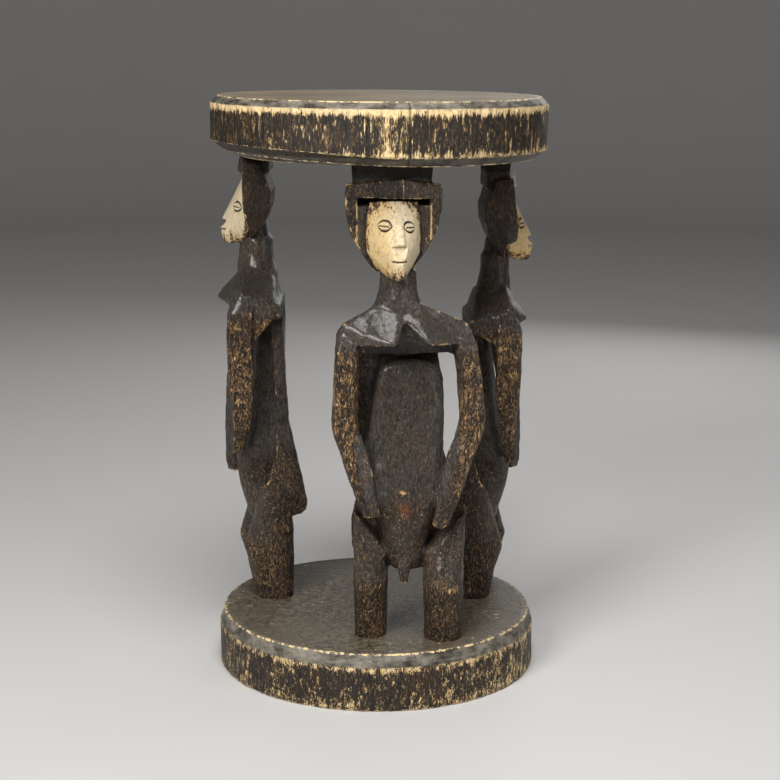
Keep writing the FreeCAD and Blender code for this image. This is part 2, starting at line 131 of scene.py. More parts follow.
class StoolStage(bpy.types.PropertyGroup):
    """Camera and light of the studio"""

    camera_place: FloatVectorProperty(
        name="Camera", description="Where the camera stands", subtype="TRANSLATION",
        default=(0.0, -1.4144, 0.5211))
    camera_pitch: angle_of("Pitch", "How far the camera looks down", 11.65)
    camera_roll: angle_of("Roll", "How far the camera is tipped", 0.41)
    camera_yaw: angle_of("Yaw", "How far the camera is turned to the right", 0.41)
    lens: number_of("Lens", "Focal length in millimetres", 80.61)
    key_power: number_of("Key light", "Power of the main light in watts", 30.0)
    top_power: number_of("Top light", "Power of the light above in watts", 22.0)
    fill_power: number_of("Fill light", "Power of the second light in watts", 7.0)
    floor_colour: colour_of("Floor", "Plain pale floor", 0.62, 0.61, 0.595)


# Modelling helpers

def deselect():
    if bpy.context.mode != "OBJECT":
        bpy.ops.object.mode_set(mode="OBJECT")
    bpy.ops.object.select_all(action="DESELECT")


def select_only(*objects):
    deselect()
    for item in objects:
        item.select_set(True)
    bpy.context.view_layer.objects.active = objects[0]


def close_up():
    """Closes the mesh being edited, turns its faces outwards and leaves edit mode."""
    bpy.ops.mesh.select_all(action="SELECT")
    bpy.ops.mesh.remove_doubles(threshold=1e-6)
    bpy.ops.mesh.fill_holes(sides=0)
    bpy.ops.mesh.normals_make_consistent(inside=False)
    bpy.ops.object.mode_set(mode="OBJECT")


def edit_all():
    bpy.ops.object.mode_set(mode="EDIT")
    bpy.ops.mesh.select_all(action="SELECT")


def extrude(x=0.0, y=0.0, z=0.0):
    bpy.ops.mesh.extrude_region_move(TRANSFORM_OT_translate={"value": (x, y, z)})


def put(piece, location, turn=(0.0, 0.0, 0.0), scale=(1.0, 1.0, 1.0)):
    """Moves, turns and scales the points of a piece."""
    piece.location, piece.rotation_euler, piece.scale = location, turn, scale
    bpy.ops.object.transform_apply(location=True, rotation=True, scale=True)


def edit_new(name, points, edges=()):
    """New mesh of points and edges, with all of them selected in edit mode."""
    deselect()
    mesh = bpy.data.meshes.new(name)
    mesh.from_pydata(points, edges, [])
    piece = bpy.data.objects.new(name, mesh)
    bpy.context.scene.collection.objects.link(piece)
    select_only(piece)
    edit_all()
    return piece


def column(rings, corner=0.0, sides=28):
    """Closed block through level rings (x, y, z, width, depth), round or with rounded corners."""
    deselect()
    x, y, z, width, depth = (value * MM for value in rings[0])
    if corner:
        bpy.ops.mesh.primitive_plane_add(size=1.0)
    else:
        bpy.ops.mesh.primitive_circle_add(vertices=sides, radius=0.5, fill_type="NGON")
    block = bpy.context.object
    put(block, (x, y, z), scale=(width, depth, 1.0))
    edit_all()
    if corner:
        bpy.ops.mesh.bevel(offset=corner * MM, segments=3, affect="VERTICES")
        bpy.ops.mesh.select_all(action="SELECT")
    for ring in rings[1:]:
        nx, ny, nz, nwidth, ndepth = (value * MM for value in ring)
        extrude(nx - x, ny - y, nz - z)
        bpy.ops.transform.resize(
            value=(nwidth / width, ndepth / depth, 1.0), center_override=(nx, ny, nz))
        x, y, z, width, depth = nx, ny, nz, nwidth, ndepth
    close_up()
    return block


def facets(points):
    """Flat-sided block around a few corner points."""
    block = edit_new("block", [tuple(value * MM for value in point) for point in points])
    bpy.ops.mesh.convex_hull()
    close_up()
    return block


def bar(centre, size, tilt=0.0):
    """Rectangular cutter at a centre, tipped about X by a number of degrees."""
    deselect()
    bpy.ops.mesh.primitive_cube_add(size=1.0)
    block = bpy.context.object
    put(block, [value * MM for value in centre], (math.radians(tilt), 0.0, 0.0),
        [value * MM for value in size])
    return block


def join(blocks, name):
    select_only(*blocks)
    bpy.ops.object.join()
    whole = bpy.context.object
    whole.name = name
    whole.data.name = name
    return whole


def finish_with(piece, kind, **settings):
    """Adds one modifier with its settings and applies it."""
    select_only(piece)
    modifier = piece.modifiers.new(kind.lower(), kind)
    for key, value in settings.items():
        setattr(modifier, key, value)
    bpy.ops.object.modifier_apply(modifier=modifier.name)


def cut(piece, cutter):
    finish_with(piece, "BOOLEAN", operation="DIFFERENCE", solver="EXACT", object=cutter)
    bpy.data.objects.remove(cutter)


def carve(piece, voxel, rounds):
    """Makes overlapping blocks one skin and rounds its edges."""
    finish_with(piece, "REMESH", mode="VOXEL", voxel_size=voxel)
    finish_with(piece, "SMOOTH", factor=0.5, iterations=rounds)


def tool_marks(piece, kind, size, depth):
    """Shallow marks of a procedural texture, pressed into the mesh."""
    texture = bpy.data.textures.new("marks", kind)
    texture.noise_scale = size
    finish_with(piece, "DISPLACE", texture=texture, texture_coords="LOCAL",
                strength=depth, mid_level=0.5)
    bpy.data.textures.remove(texture)


def soften(piece, weights, rounds):
    """Rounds the parts of a piece where the weights are high."""
    group = piece.vertex_groups.new(name="soft")
    for index, weight in enumerate(np.clip(weights, 0.0, 1.0)):
        if weight > 0.0:
            group.add([index], float(weight), "REPLACE")
    finish_with(piece, "SMOOTH", factor=0.5, iterations=rounds, vertex_group="soft")
    piece.vertex_groups.clear()


def points_of(piece):
    flat = np.empty(len(piece.data.vertices) * 3)
    piece.data.vertices.foreach_get("co", flat)
    return flat.reshape(-1, 3)


def normals_of(piece):
    flat = np.empty(len(piece.data.vertices) * 3)
    piece.data.vertex_normals.foreach_get("vector", flat)
    return flat.reshape(-1, 3)


def set_points(piece, points):
    piece.data.vertices.foreach_set("co", points.astype(np.float32).ravel())
    piece.data.update()


def note(piece, name, values):
    """Keeps one number for each point, for the materials to read."""
    layer = piece.data.attributes.get(name) or piece.data.attributes.new(name, "FLOAT", "POINT")
    layer.data.foreach_set("value", np.clip(values, 0.0, 1.0).astype(np.float32))


def relief(piece, rounds):
    """How far each point stands out from its smoothed surroundings, in metres."""
    points = points_of(piece)
    ends = np.empty(len(piece.data.edges) * 2, dtype=np.int32)
    piece.data.edges.foreach_get("vertices", ends)
    a, b = ends.reshape(-1, 2).T
    count = np.maximum(np.bincount(ends, minlength=len(points)), 1)
    smooth = points.copy()
    for _ in range(rounds):
        total = np.empty_like(smooth)
        for axis in range(3):
            total[:, axis] = (np.bincount(a, smooth[b, axis], len(points))
                              + np.bincount(b, smooth[a, axis], len(points)))
        smooth = 0.5 * smooth + 0.5 * total / count[:, None]
    return ((points - smooth) * normals_of(piece)).sum(axis=1)


def note_wear(piece, rounds, edge, crease, shaded_places=0.0, rubbed=0.0):
    """Marks ridges and rubbed places as worn, and creases and the given shaded places as painted shade."""
    height = relief(piece, rounds)
    note(piece, "worn", height / (edge * MM) + rubbed - 2.0 * shaded_places)
    note(piece, "painted_shade", np.maximum(-height / (crease * MM), shaded_places))


def ease(low, high, values):
    share = np.clip((values - low) / (high - low), 0.0, 1.0)
    return share * share * (3.0 - 2.0 * share)


def plateau(low, full, wane, high, values):
    """Rises from low to full, and falls again from wane to high."""
    return ease(low, full, values) * ease(high, wane, values)


def bell(values, centre, width):
    return np.exp(-((values - centre) / width) ** 2)


def speckle(points, scale, seed=0.0):
    """Soft noise from -1 to 1 at each point, with a grain of the given size in metres."""
    shift = Vector((seed, seed * 1.7, seed * 0.3))
    return np.array([noise.noise(Vector(point) + shift) for point in points / scale])


def stand(piece, figure):
    """Turns a carved piece from its figure's own frame into its place on the base."""
    stance = STANCES[figure]
    select_only(piece)
    put(piece, (stance.x * MM, stance.y * MM, 0.0), (0.0, 0.0, math.radians(stance.turn)))


def sway(stance, level):
    """Sideways lean at a level: the chest and the head lean, the hips hardly."""
    share = np.interp(level, (CROTCH, 225.0, 300.0, SEAT_UNDER), (0.0, 0.14, 0.62, 1.0))
    return stance.lean * float(share)


def settle(piece, slot, *nodes):
    """Gives a finished piece the material that its slot names and its body, and hides the solids it stands
    for.
    """
    select_only(piece)
    bpy.ops.object.shade_smooth()
    piece.data.materials.clear()
    piece.data.materials.append(bpy.data.materials[FINISHES[slot]])
    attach(piece, "root")
    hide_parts(*nodes)


# Shader helpers

class Value:
    """One number, vector or colour of a shader tree, which can be used in sums."""

    def __init__(self, tree, socket):
        self.tree, self.socket = tree, socket

    def place(self, kind, sockets, output=0, **settings):
        return Value(self.tree, add_node(self.tree, kind, sockets, **settings).outputs[output])

    def math(self, operation, a, b):
        return self.place("ShaderNodeMath", {0: a, 1: b}, operation=operation)

    def __add__(self, other):
        return self.math("ADD", self, other)

    def __sub__(self, other):
        return self.math("SUBTRACT", self, other)

    def __rsub__(self, other):
        return self.math("SUBTRACT", other, self)

    def __mul__(self, other):
        return self.math("MULTIPLY", self, other)

    __radd__ = __add__

    def ramp(self, low, high, to_low=0.0, to_high=1.0):
        """Eases from one number at low to another at high."""
        return self.place("ShaderNodeMapRange", {0: self, 1: low, 2: high, 3: to_low, 4: to_high},
                          interpolation_type="SMOOTHSTEP")

    def stretched(self, scale):
        return self.place("ShaderNodeVectorMath", {0: self, 1: scale}, operation="MULTIPLY")

    def clouds(self, scale, detail=4.0, roughness=0.6):
        return self.place("ShaderNodeTexNoise", {"Vector": self, "Scale": scale, "Detail": detail,
                                                 "Roughness": roughness}, "Fac")

    def blend(self, a, b):
        """Mixes two colours by this share."""
        a, b = (tint if isinstance(tint, Value) else (*tuple(tint)[:3], 1.0) for tint in (a, b))
        return self.place("ShaderNodeMix", {0: self, 6: a, 7: b}, 2, data_type="RGBA")

    def into(self, node, label):
        self.tree.links.new(self.socket, node.inputs[label])


def add_node(tree, kind, sockets, **settings):
    """Adds a node, sets it, and fills its inputs with numbers or links."""
    node = tree.nodes.new(kind)
    for key, value in settings.items():
        setattr(node, key, value)
    for key, value in sockets.items():
        if isinstance(value, Value):
            value.into(node, key)
        else:
            node.inputs[key].default_value = value
    return node


def layered(colour, *layers):
    """Lays tints over a colour, each by its own share."""
    for share, tint in layers:
        colour = share.blend(colour, tint)
    return colour


def group_of(name, outputs, **inputs):
    """New shader group: its output node, its vector and its other inputs."""
    tree = bpy.data.node_groups.new(name, "ShaderNodeTree")
    tree.interface.new_socket("Vector", in_out="INPUT", socket_type="NodeSocketVector")
    for label, value in inputs.items():
        socket = tree.interface.new_socket(label, in_out="INPUT", socket_type="NodeSocketFloat")
        socket.default_value = value
    for label in outputs:
        tree.interface.new_socket(label, in_out="OUTPUT", socket_type="NodeSocketFloat")
    given = tree.nodes.new("NodeGroupInput").outputs
    result = tree.nodes.new("NodeGroupOutput")
    return [result] + [Value(tree, given[label]) for label in ("Vector", *inputs)]


def use_group(coords, name, **inputs):
    sockets = {"Vector": coords, **inputs}
    node = add_node(coords.tree, "ShaderNodeGroup", sockets, node_tree=bpy.data.node_groups[name])
    return [Value(coords.tree, socket) for socket in node.outputs]


def make_groups():
    """Grain, worn ridges and chipped patina, which the wood and the pigment share."""
    result, vector, fineness = group_of("wood_grain", ("Streaks", "Pores"), Fineness=260)
    streaks = vector.stretched((1, 1, 0.12)).clouds(fineness, 5, 0.65)
    pores = vector.stretched((1, 1, 0.4)).clouds(fineness * 3, 3, 0.7)
    streaks.ramp(0.3, 0.7).into(result, "Streaks")
    pores.ramp(0.35, 0.65).into(result, "Pores")

    result, vector, ridge, reach = group_of("worn_ridges", ("Worn",), Ridge=0, Reach=0.5)
    broken = vector.stretched((1, 1, 0.5)).clouds(210, 5, 0.75)
    level = ridge + (broken - 0.5) * 2.4
    (level - (1 - reach)).ramp(-0.05, 0.12).into(result, "Worn")

    result, vector, density, size, length = group_of(
        "chipped_patina", ("Bare", "Rim"), Density=0, Size=150, Length=0.35)
    along = vector.stretched(vector.place("ShaderNodeCombineXYZ", {"X": 1, "Y": 1, "Z": length}))
    patches, flakes = along.clouds(size, 2, 0.5), along.clouds(size * 3.4, 4, 0.7)
    over = patches * 0.4 + flakes * 0.6 + density * 0.42 - 0.76
    over.ramp(-0.01, 0.03).into(result, "Bare")
    over.ramp(-0.06, 0).into(result, "Rim")


def new_material(name):
    material = bpy.data.materials.new(name)
    material.use_nodes = True
    tree = material.node_tree
    coords = tree.nodes.new("ShaderNodeTexCoord").outputs["Object"]
    return material, tree.nodes["Principled BSDF"], Value(tree, coords)


def reads(coords, *names):
    """Numbers that note() kept for each point."""
    return [coords.place("ShaderNodeAttribute", {}, "Fac", attribute_name=name) for name in names]


def wood_layers(coords, worn, fineness, reach, **chipping):
    """Streaks and pores of the grain, chips and their rims, and worn ridges."""
    return (use_group(coords, "wood_grain", Fineness=fineness)
            + use_group(coords, "chipped_patina", **chipping)
            + use_group(coords, "worn_ridges", Ridge=worn, Reach=reach))


def bump(shader, height, distance, strength=0.6):
    sockets = {"Height": height, "Distance": distance, "Strength": strength}
    height.place("ShaderNodeBump", sockets).into(shader, "Normal")


def make_disc_wood(finish):
    """Chipped sides, rubbed chamfers and scratched, dusty tops."""
    shader, coords = new_material(FINISHES["disc_wood"])[1:]
    worn, painted_shade, bare = reads(coords, "worn", "painted_shade", "bare")
    top, rubbed, dust = reads(coords, "top", "polish_and_sheen", "dusty")
    streaks, pores, chips, rims, ridges = wood_layers(
        coords, worn, 420, 0.08, Density=bare, Size=275, Length=0.22 + dust * 0.26)
    warm = coords.clouds(45, 3).ramp(0.5, 0.75)
    freckled = coords.stretched((1, 1, 0.3)).clouds(700, 3, 0.7).ramp(0.54, 0.64, 0, 0.8)
    pale = pores.blend(finish.gold, finish.cream)
    side = layered(streaks.blend(finish.patina, (0.026, 0.019, 0.014)), (warm, finish.brown),
                   (freckled, (0.125, 0.076, 0.034)), (rims * 0.6, finish.gold), (chips, pale))
    rubbing = coords.stretched((1, 1, 2.5)).clouds(48, 6, 0.7).ramp(0.34, 0.70)
    chamfer = rubbing.blend((0.028, 0.022, 0.017), (0.25, 0.224, 0.178))
    streaky = coords.stretched((0.06, 1, 1)).clouds(640, 5, 0.75)
    scratched = streaky + dust * (coords.clouds(210, 6, 0.8) - streaky)
    cloudy = coords.clouds(16, 4)
    specks = coords.stretched((0.3, 1, 1)).clouds(420, 2).ramp(0.70, 0.75)
    dusty = layered(scratched.ramp(0.37, 0.63).blend((0.042, 0.034, 0.024), finish.dust),
                    (cloudy.ramp(0.42, 0.70), (0.105, 0.086, 0.060)), (specks, finish.cream))
    trodden = cloudy.ramp(0.36, 0.62, 0.62, 0.22).blend(dusty, (0.28, 0.222, 0.145))
    colour = layered(side, (rubbed, chamfer), (top, dust.blend(trodden, dusty)), (ridges, pale),
                     # painted shade, near black, in creases, splits and chips
                     (painted_shade * 0.75, (0.008, 0.006, 0.005)))
    colour.into(shader, "Base Color")
    (0.48 + chips * 0.18 - rubbed * 0.22 + scratched * 0.10).into(shader, "Roughness")
    bump(shader, streaks - chips * 0.9 + scratched * 0.6, 0.0005)
    shader.inputs["Specular IOR Level"].default_value = 0.32


def make_figure_wood(finish):
    """Dark handled wood, with a painted grey sheen and painted glints where it is rubbed, painted shade in
    its creases and shaded places, and golden on its ridges and flecks.
    """
    shader, coords = new_material(FINISHES["figure_wood"])[1:]
    worn, painted_shade, rubbed, flecked, rust = reads(coords, "worn", "painted_shade", "polish_and_sheen", "bare", "rust")
    streaks, pores, chips, rims, ridges = wood_layers(
        coords, worn, 420, 0.26, Density=flecked, Size=260, Length=0.34)
    patchy = coords.stretched((1, 1, 0.45)).clouds(70, 5, 0.65)
    speckled = coords.stretched((1, 1, 0.45)).clouds(600, 3, 0.7).ramp(0.53, 0.61) * (flecked * 1.7)
    # Painted sheen: grey laid over the rubbed places in fine streaks
    painted_sheen = rubbed * coords.stretched((1, 1, 0.3)).clouds(520, 4, 0.7).ramp(0.34, 0.66)
    # Painted glints: small pale tan speckles on the livelier, flecked parts
    lively = patchy.ramp(0.38, 0.62, 0.3, 1) * flecked.ramp(0.05, 0.22, 0.25, 0.9)
    painted_glints = coords.stretched((1, 1, 0.4)).clouds(1000, 3, 0.65).ramp(0.59, 0.65) * lively
    pale = pores.blend((0.36, 0.200, 0.075), finish.gold)
    colour = layered(
        patchy.ramp(0.40, 0.68).blend(finish.patina, finish.brown),
        (streaks.ramp(0.45, 0.95) * 0.40, (0.058, 0.033, 0.016)), (speckled, (0.29, 0.160, 0.063)),
        # the grey of the painted sheen, then the painted glints
        (rust * pores, (0.26, 0.080, 0.018)), (painted_sheen, finish.polish_and_sheen), (painted_glints, (0.34, 0.250, 0.150)),
        (rims * 0.6, (0.13, 0.068, 0.026)), (chips, pale), (ridges, pale),
        # painted shade, near black, in creases, under the chest and on the hoods' crowns
        (painted_shade * 0.9, (0.004, 0.003, 0.002)))
    colour.into(shader, "Base Color")
    rough = 0.42 + pores * 0.14 - rubbed * 0.17 + painted_shade * 0.35 + ridges * 0.15
    rough.into(shader, "Roughness")
    bump(shader, streaks + pores * 0.8 - chips * 0.5, 0.0008, 0.7)
    shader.inputs["Specular IOR Level"].default_value = 0.30
    (rubbed * 0.30 + painted_sheen * 0.22).into(shader, "Coat Weight")
    shader.inputs["Coat Roughness"].default_value = 0.22


def make_face_pigment(finish):
    """Pale matte pigment, yellowed on one side, streaked grey on the other and worn at its borders."""
    shader, coords = new_material(FINISHES["face_pigment"])[1:]
    worn, painted_shade, yellowed, rubbed = reads(coords, "worn", "painted_shade", "yellowed", "bare")
    streaks, pores, chips, rims, ridges = wood_layers(
        coords, worn, 430, 0.3, Density=rubbed, Size=260, Length=0.45)
    mottled = coords.stretched((1, 1, 0.6)).clouds(520, 5, 0.75).ramp(0.50, 0.66)
    colour = layered(
        (yellowed * 0.85).blend(finish.pigment, finish.stain),
        (streaks * (0.42 - yellowed * 0.30), (0.34, 0.30, 0.24)),
        (mottled * (0.50 + yellowed * 0.50), (0.30, 0.17, 0.060)), (rims, (0.36, 0.19, 0.065)),
        # painted shade, near black, in creases and in the eyes' grooves and slits
        (chips, finish.brown), (ridges, (0.80, 0.71, 0.53)), (painted_shade, (0.012, 0.008, 0.006)))
    colour.into(shader, "Base Color")
    (0.58 + pores * 0.16).into(shader, "Roughness")
    bump(shader, streaks - chips, 0.0003, 0.5)


# The two discs

Split = namedtuple("Split", "angle width depth low high")
# Distances between a disc's rings on its level faces and elsewhere
LEVEL_PITCH, SIDE_PITCH = 5, 1.1


def turned_disc(name, outline, steps):
    """Disc spun from its outline of (radius, level) corners, in millimetres."""
    spaced = []
    for (r0, z0), (r1, z1) in zip(outline, outline[1:]):
        length = math.hypot(r1 - r0, z1 - z0)
        pitch = LEVEL_PITCH if abs(z1 - z0) < 0.5 else SIDE_PITCH
        count = max(1, round(length / pitch))
        for step in range(count):
            share = step / count
            spaced.append((r0 + (r1 - r0) * share, z0 + (z1 - z0) * share))
    spaced.append(outline[-1])
    disc = edit_new(name, [(r * MM, 0, z * MM) for r, z in spaced],
                    [(i, i + 1) for i in range(len(spaced) - 1)])
    bpy.ops.mesh.spin(steps=steps, angle=math.tau, center=(0, 0, 0), axis=(0, 0, 1))
    bpy.ops.mesh.select_all(action="SELECT")
    bpy.ops.mesh.remove_doubles(threshold=2e-5)
    bpy.ops.mesh.normals_make_consistent(inside=False)
    bpy.ops.object.mode_set(mode="OBJECT")
    return disc


def weather_disc(disc, radius, edges, splits, depth, seed):
    """Presses grain, chipped edges and splits into a turned disc."""
    points = points_of(disc)
    x, y, z = points.T
    flat_radius = np.hypot(x, y)
    outward = points.copy()
    outward[:, 2] = 0
    outward /= np.maximum(flat_radius, 1e-6)[:, None]
    turn = np.degrees(np.arctan2(y, x))
    rim = ease(0.90 * radius * MM, 0.955 * radius * MM, flat_radius)
    upright = points * [1, 1, 0.10]
    inset = 0.00022 * speckle(upright, 0.0016, seed) + 0.00035 * speckle(points, 0.016, seed + 3)
    inset += 0.0006 * speckle(points, 0.06, seed + 5)
    for level, reach in edges:
        near = np.exp(-np.abs(z - level * MM) / (reach * MM))
        bites = ease(0.05, 0.5, speckle(points * [1, 1, 0.6], 0.0058, seed + level))
        crumbs = ease(0.1, 0.5, speckle(points, 0.0021, seed + level + 9))
        inset -= near * (depth * bites + 0.35 * depth * crumbs)
    for split in splits:
        away = np.abs((turn - split.angle + 180) % 360 - 180) * math.pi / 180 * flat_radius
        wobble = 0.0007 * speckle(points, 0.012, split.angle)
        groove = np.clip(1 - np.abs(away + wobble) / (split.width * MM), 0, 1)
        tall = plateau(split.low - 3, split.low + 3, split.high - 3, split.high + 3, z / MM)
        inset -= split.depth * MM * groove * tall
    points += outward * (inset * rim)[:, None]
    top_side = (1 - rim) * np.where(z > z.mean(), 1, -1)
    z += top_side * 0.00025 * speckle(points * [0.12, 1, 1], 0.004, seed + 7)
    set_points(disc, points)
    return turn, flat_radius / MM, z / MM


class STOOL_OT_seat(bpy.types.Operator):
    """Carves the thick round seat with its chipped side and split front"""

    bl_idname = "stool.seat"
    bl_label = "Seat disc"

    def execute(self, context):
        carving = context.scene.stool_carving
        radius = SEAT_HIGH.x / MM
        under, top = SEAT_UNDER, SEAT_TOP
        upper, lower = top - 5.7, under + 7.4
        outline = [(0, under), (radius - 10, under), (radius, lower),
                   (radius, upper), (radius - 6, top), (0, top)]
        seat = turned_disc("seat_carved", outline, carving.disc_steps)
        points = points_of(seat)
        x, y, z = points.T
        leftness = ease(-0.35, 1, -x / (radius * MM))
        drop = np.clip((upper * MM - z) / ((upper - lower) * MM), 0, 1)
        outer = ease(0.80, 0.95, np.hypot(x, y) / (radius * MM))
        z += 0.0062 * leftness * drop * outer
        set_points(seat, points)
        splits = [Split(-93.6, 1.9, 2.6, lower + 2, upper - 4), Split(-80.2, 0.9, 3.2, lower - 6, top),
                  Split(-44, 0.7, 1.6, lower + 8, upper), Split(152, 0.8, 2.4, lower, top),
                  Split(63, 0.9, 2.6, lower, top)]
        turn, spread, level = weather_disc(
            seat, radius, [(upper, 2.6), (lower, 2.4)], splits, carving.chip_depth, 11)
        side = ease(radius - 3, radius - 1.2, spread)
        high = ease(7.5, 1, upper - level)
        low = ease(6, 0.5, level - lower)
        # More bare wood between the two front splits: partly the worn piece between them, partly a painted
        # highlight on the middle of the seat's front
        pale = plateau(-94, -92.5, -81, -80, turn)
        patchy = 0.12 * speckle(points_of(seat) * [1, 1, 0.3], 0.011, 2)
        note(seat, "bare", side * (0.34 + 0.45 * high + 0.24 * low + 0.12 * pale + patchy))
        note(seat, "top", ease(top - 1.2, top - 0.5, level) * ease(radius - 4.6, radius - 6, spread))
        chamfer = ease(upper - 0.5, upper + 0.7, level) * ease(radius - 7, radius - 6, spread)
        note(seat, "polish_and_sheen", chamfer + ease(lower + 0.2, lower - 1.5, level) * 0.4)
        rim = ease(radius - 8.5, radius - 6.5, spread) * ease(top - 1.5, top - 0.3, level)
        note_wear(seat, 6, 0.42, 0.55, rubbed=rim * (0.55 * speckle(points_of(seat), 0.03, 7) - 0.25))
        settle(seat, "disc_wood", "seat_disc")
        return {"FINISHED"}


class STOOL_OT_base(bpy.types.Operator):
    """Carves the thick round base with its worn rim and split side"""

    bl_idname = "stool.base"
    bl_label = "Base disc"

    def execute(self, context):
        carving = context.scene.stool_carving
        radius = BASE_HIGH.x / MM
        top = BASE_TOP
        upper = top - 10.5
        outline = [(0, 0), (radius - 1.5, 0), (radius, 1.5), (radius, upper), (radius - 4, top), (0, top)]
        base = turned_disc("base_carved", outline, carving.disc_steps)
        splits = [Split(-177.5, 3.4, 8, -4, top + 4), Split(-28, 0.8, 2.2, 8, top),
                  Split(40, 1, 3, -4, top), Split(121, 0.8, 2.4, 6, top)]
        turn, spread, level = weather_disc(
            base, radius, [(upper, 2.4), (2, 3)], splits, carving.chip_depth, 23)
        side = ease(radius - 3.2, radius - 1.4, spread)
        high = ease(6, 0.5, upper - level)
        low = ease(15, 3, level)
        right = plateau(-75, -45, 10, 60, turn)
        patchy = 0.16 * speckle(points_of(base) * [1, 1, 0.5], 0.013, 4)
        note(base, "bare", side * (0.35 + 0.22 * high + 0.10 * low + 0.08 * right + patchy))
        note(base, "top", ease(top - 1.2, top - 0.5, level) * ease(radius - 3.6, radius - 4.6, spread))
        note(base, "polish_and_sheen", ease(upper - 0.4, upper + 0.8, level))
        note(base, "dusty", np.ones(len(level)))
        rim = ease(radius - 6.5, radius - 4.5, spread) * ease(top - 1.5, top - 0.3, level)
        rubbed = 0.55 * right - 0.35 + 0.55 * speckle(points_of(base), 0.03, 6)
        note_wear(base, 6, 0.58, 0.55, rubbed=rim * rubbed)
        settle(base, "disc_wood", "base_disc")
        return {"FINISHED"}


# The standing figures

def each_figure(context, carve_one):
    """Carves the same piece of all three figures."""
    for figure, stance in STANCES.items():
        carve_one(context.scene.stool_carving, figure, stance)
    return {"FINISHED"}


# Width of a leg and levels of the knees, the elbows and the chest's underside
LEG_WIDTH, KNEE, ELBOW, CHEST_LOW = 28.5, 92, 200, 279
# Corners of an arm's section, outwards and forwards, as shares of its width and depth
UPPER_ARM = ((0.5, 0.15), (0.4, 0.45), (-0.28, 0.5), (-0.5, 0.1), (-0.45, -0.5), (0.45, -0.5))
FOREARM = ((0.5, 0), (0.4, 0.36), (0.1, 0.5), (-0.5, 0.05), (-0.46, -0.42), (0.4, -0.5))


def leg_blocks(side, stance, width, shift):
    """Round leg with a ridge at the knee, and a thigh whose top slants down to the inside."""
    x = side * ((57 + stance.breadth) / 2 + shift)
    deep = width / LEG_WIDTH
    shin = column([(x, deep * (front + back) / 2, level, width + grow, deep * (back - front))
                   for level, grow, front, back in [
                       (43, -1, -16, 14.5), (50, 0, -17, 15), (70, 0.5, -20.5, 15.5), (85, 1, -25.5, 15.5),
                       (91, 1.4, -27, 15.2), (95, 1.4, -26, 15), (107, 1, -22.5, 15), (118, -4, -19, 14)]])
    half = width / 2
    thigh = facets([(x + side * u, v, z) for u, v, z in [
        (-half + 1, -14, 104), (half, -14, 104), (-6, -21, 106), (6, -21, 106), (-half + 1, 10, 104),
        (half, 10, 104), (-half + 0.5, -15, 119), (-half + 0.5, 8, 124), (half + 1, -8, 150),
        (half - 3, -12, 146), (half + 1, 10, 152), (0, -17, 128), (half - 1, -14, 130)]])
    if stance.breadth == 0:
        return [shin, thigh]
    hip = facets([(x + side * u, v, z) for u, v, z in [
        (half + 1, -8, 148), (half + 1, 10, 150), (half - 8, -10, 140), (half - 8, 10, 140),
        (half - 9, 0, 176), (half - 9, 10, 178), (half, -12, 120), (half, 10, 120), (half - 8, -10, 120),
        (half - 8, 10, 120)]])
    return [shin, thigh, hip]


def torso_blocks(stance, back_right, back_left):
    """Belly with a rounded top, running down between the thighs, and flat back under the chest."""
    wide, up = stance.breadth, stance.lift

    def side_step(level):
        return stance.lean * float(np.interp(level, (105, 150, 190, 255), (0.05, 0.22, 0.33, 0)))

    def rings(*stations):
        """Level, width, share of the figure's breadth in it, front, back and share of the lift."""
        return [(side_step(level), (front + back) / 2, level + rise * up,
                 width + share * wide, back - front)
                for level, width, share, front, back, rise in stations]

    pelvis = column(rings(
        (104, 25, 0, -15, 12, 0), (112, 29, 0, -20, 16, 0), (125, 34, 0, -24, 20, 0),
        (138, 39, 0.5, -27.5, 20, 0), (150, 46, 0.8, -30, 18, 0), (166, 56, 1, -31, 15, 0),
        (180, 58, 1, -27.5, 15, 0)))
    belly = column(rings(
        (140, 34, 1, -24, 16, 0), (150, 43, 1, -28.5, 16.5, 0), (160, 52, 1, -30.4, 16.5, 0),
        (167, 56.5, 1, -30.5, 16.5, 0), (178, 60, 1, -27.5, 16, 0), (200, 60, 1, -22.5, 12.5, 0.3),
        (225, 57.5, 1, -18.5, 10, 0.6), (246, 54, 1, -15.5, 9.5, 0.9), (256, 52.5, 1, -14, 9.5, 1),
        (263, 48.5, 1, -13, 9, 1), (268, 40, 1, -12, 9, 1), (271, 26, 0.6, -10.5, 8.5, 1),
        (272.5, 12, 0.3, -9, 8, 1)), corner=9)
    mid = sway(stance, 250)
    back = facets([(mid + x, y, z + rise * up) for x, y, z, rise in [
        (-back_right, 1, 290, 1), (-back_right, 10, 286, 1), (back_left, 1, 290, 1),
        (back_left, 10, 286, 1), (-back_right, 1, 215, 0.5), (-back_right, 9, 215, 0.5),
        (back_left, 1, 215, 0.5), (back_left, 9, 215, 0.5), (-22 - wide / 2, 0, 178, 0),
        (22 + wide / 2, 0, 178, 0), (-20, 12, 195, 0), (20, 12, 195, 0)]])
    shelf = facets([(side * x, y, z + up) for side in (-1, 1) for x, y, z in [
        (24 + wide / 2, -11, 256), (21 + wide / 2, 1, 279), (24 + wide / 2, 8, 279),
        (25 + wide / 2, -10, 235), (25 + wide / 2, 8, 235)]])
    return [pelvis, belly, back, shelf]


def buttock_block(side, stance):
    half = stance.breadth / 2
    return facets([(side * x, y, z) for x, y, z in [
        (2, 12, 203), (26 + half, 11, 200), (2, 0, 200), (28 + half, 0, 196), (36 + half, 11, 172),
        (38 + half, 0, 172), (44 + half, 13, 140), (45 + half, 0, 140), (2, 27, 131), (39 + half, 26, 131),
        (2, 26.5, 124), (39 + half, 25.5, 124), (2, 22, 119.5), (39 + half, 21, 119.5), (2, 0, 117),
        (44 + half, 0, 116)]])


